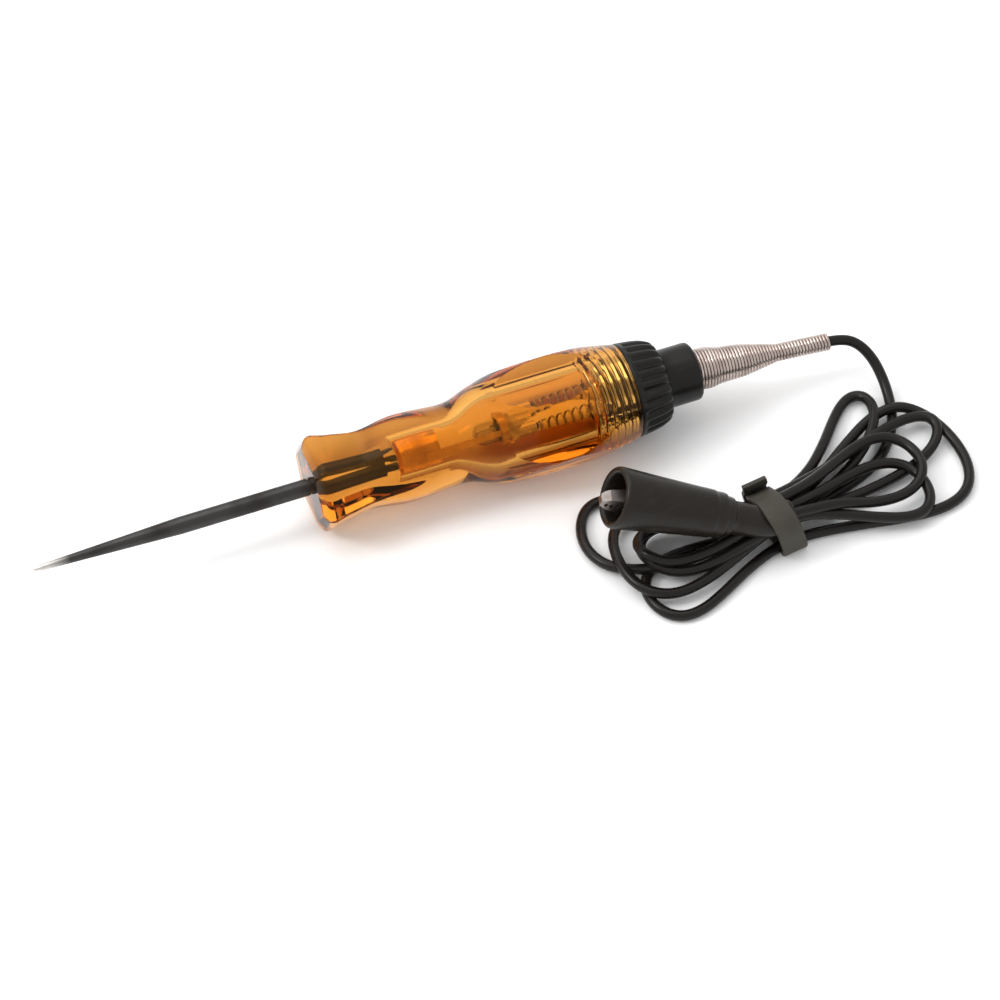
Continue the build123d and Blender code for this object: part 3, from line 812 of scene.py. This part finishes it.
probe_steel = metal("probe_steel", (0.055, 0.053, 0.052), (0.035, 0.032, 0.030), 2500, 120, 0.3, 0.01)
probe_nodes, probe_link = probe_steel.node_tree.nodes, probe_steel.node_tree.links.new
probe_place = probe_nodes.new("ShaderNodeTexCoord")
probe_along = probe_nodes.new("ShaderNodeSeparateXYZ")
probe_link(probe_place.outputs["Object"], probe_along.inputs["Vector"])
probe_bare = probe_nodes.new("ShaderNodeMapRange")
probe_bare.inputs["From Min"].default_value = (TIP_X + 3.5) * MM
probe_bare.inputs["From Max"].default_value = (TIP_X + 9.0) * MM
probe_bare.inputs["To Min"].default_value = 1
probe_bare.inputs["To Max"].default_value = 0
probe_link(probe_along.outputs["X"], probe_bare.inputs["Value"])
probe_colour = probe_nodes.new("ShaderNodeMix")
probe_colour.data_type = "RGBA"
probe_colour.inputs["B"].default_value = (0.55, 0.53, 0.50, 1)
probe_surface = [n for n in probe_nodes if n.type == "GROUP"][0]
probe_link(probe_bare.outputs["Result"], probe_colour.inputs["Factor"])
probe_link(probe_surface.outputs["Colour"], probe_colour.inputs["A"])
probe_link(probe_colour.outputs["Result"], probe_nodes["Principled BSDF"].inputs["Base Color"])
finish_nodes(probe_steel, "probe")

# ---- lamp and its contacts ----
# Midget flange bulb in a nickel-plated shell, pressed on a brass seat ring that a strip joins to the
# thimble on the probe. Its filament is a fine coil on two support wires held by a glass bead.

brass = metal("brass", (0.83, 0.62, 0.26), (0.56, 0.38, 0.14), 2600, 240, 0.24, 0.01)
finish_nodes(brass, "probe_contact_cup", "jumper_strip", "bulb_seat_ring", "terminal")
bulb_nickel = metal("bulb_nickel", (0.74, 0.70, 0.64), (0.50, 0.42, 0.32), 2400, 300, 0.26, 0.01)
finish_nodes(bulb_nickel, "bulb_base", "bulb_supports")
solder = metal("solder", (0.66, 0.66, 0.68), (0.42, 0.42, 0.44), 900, 800, 0.4, 0.03)
finish_nodes(solder, "bulb_contact")
tungsten = metal("tungsten", (0.42, 0.41, 0.40), (0.25, 0.24, 0.23), 5000, 900, 0.35, 0.005)
black_glass = moulded("black_glass", (0.012, 0.010, 0.012), (0.03, 0.026, 0.03), 3000, 300, 0.12, 0.01)
finish_nodes(black_glass, "bulb_insulator")

bulb_glass = bpy.data.materials.new("bulb_glass")
bulb_glass.use_nodes = True
bulb_nodes, bulb_link = bulb_glass.node_tree.nodes, bulb_glass.node_tree.links.new
bulb_shader = bulb_nodes["Principled BSDF"]
bulb_shader.inputs["IOR"].default_value = 1.5
bulb_shader.inputs["Transmission Weight"].default_value = 1
bulb_place = bulb_nodes.new("ShaderNodeTexCoord")
bulb_film = bulb_nodes.new("ShaderNodeTexNoise")
bulb_film.inputs["Scale"].default_value = 400
bulb_link(bulb_place.outputs["Object"], bulb_film.inputs["Vector"])
bulb_rough = bulb_nodes.new("ShaderNodeMapRange")
bulb_rough.inputs["To Min"].default_value = 0.0
bulb_rough.inputs["To Max"].default_value = 0.06
bulb_link(bulb_film.outputs["Fac"], bulb_rough.inputs["Value"])
bulb_link(bulb_rough.outputs["Result"], bulb_shader.inputs["Roughness"])
finish_nodes(bulb_glass, "bulb_glass", "bulb_bead")

FILAMENT_TURNS = 26
filament_line = []
for n in range(FILAMENT_TURNS * 12 + 1):
    t = n / (FILAMENT_TURNS * 12)
    swing = math.pi * (t - 0.5)
    middle = Vector((TIP_X + 112.9 - 1.0 * math.cos(swing), 0.9 * math.sin(swing), TOOL_AXIS_HEIGHT))
    out = Vector((-math.cos(swing), math.sin(swing), 0))
    angle = 2 * math.pi * FILAMENT_TURNS * t
    filament_line.append(middle + (out * math.cos(angle) + Vector((0, 0, 1)) * math.sin(angle)) * 0.12)
filament = wound_wire("filament_coil", filament_line, 0.05, sides=2)
filament.data.materials.append(tungsten)
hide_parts("bulb_filament")
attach(filament, "handle")

# ---- contact spring ----
# Conical spring of bare wire that presses the bulb forward and carries the current back to the
# terminal's brass plate. It comes away with the lead.

CONTACT_WIRE = 0.6
contact_line = []
CONTACT_TURNS = 8.0
for n in range(int(CONTACT_TURNS * 28) + 1):
    turned = n / 28
    share = turned / CONTACT_TURNS
    eased = min(max((share - 0.08) / 0.84, 0), 1)
    along = 127.5 + (141.5 - 127.5) * (0.04 * share + 0.96 * eased)
    radius = 1.45 + 1.5 * share
    angle = 2 * math.pi * turned
    contact_line.append((TIP_X + along, radius * math.cos(angle), TOOL_AXIS_HEIGHT + radius * math.sin(angle)))
contact_wire = wound_wire("contact_spring_wire", contact_line, CONTACT_WIRE, sides=6)
contact_wire.data.materials.append(clip_spring_steel)
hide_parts("contact_spring")
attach(contact_wire, frame["nodes"]["contact_spring"]["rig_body"])

# ---- terminal bush ----
# Pale moulded bush that centres the terminal in the cap.

bush_plastic = moulded("bush_plastic", (0.62, 0.58, 0.48), (0.50, 0.45, 0.36), 1500, 120, 0.45, 0.03)
finish_nodes(bush_plastic, "terminal_bush")
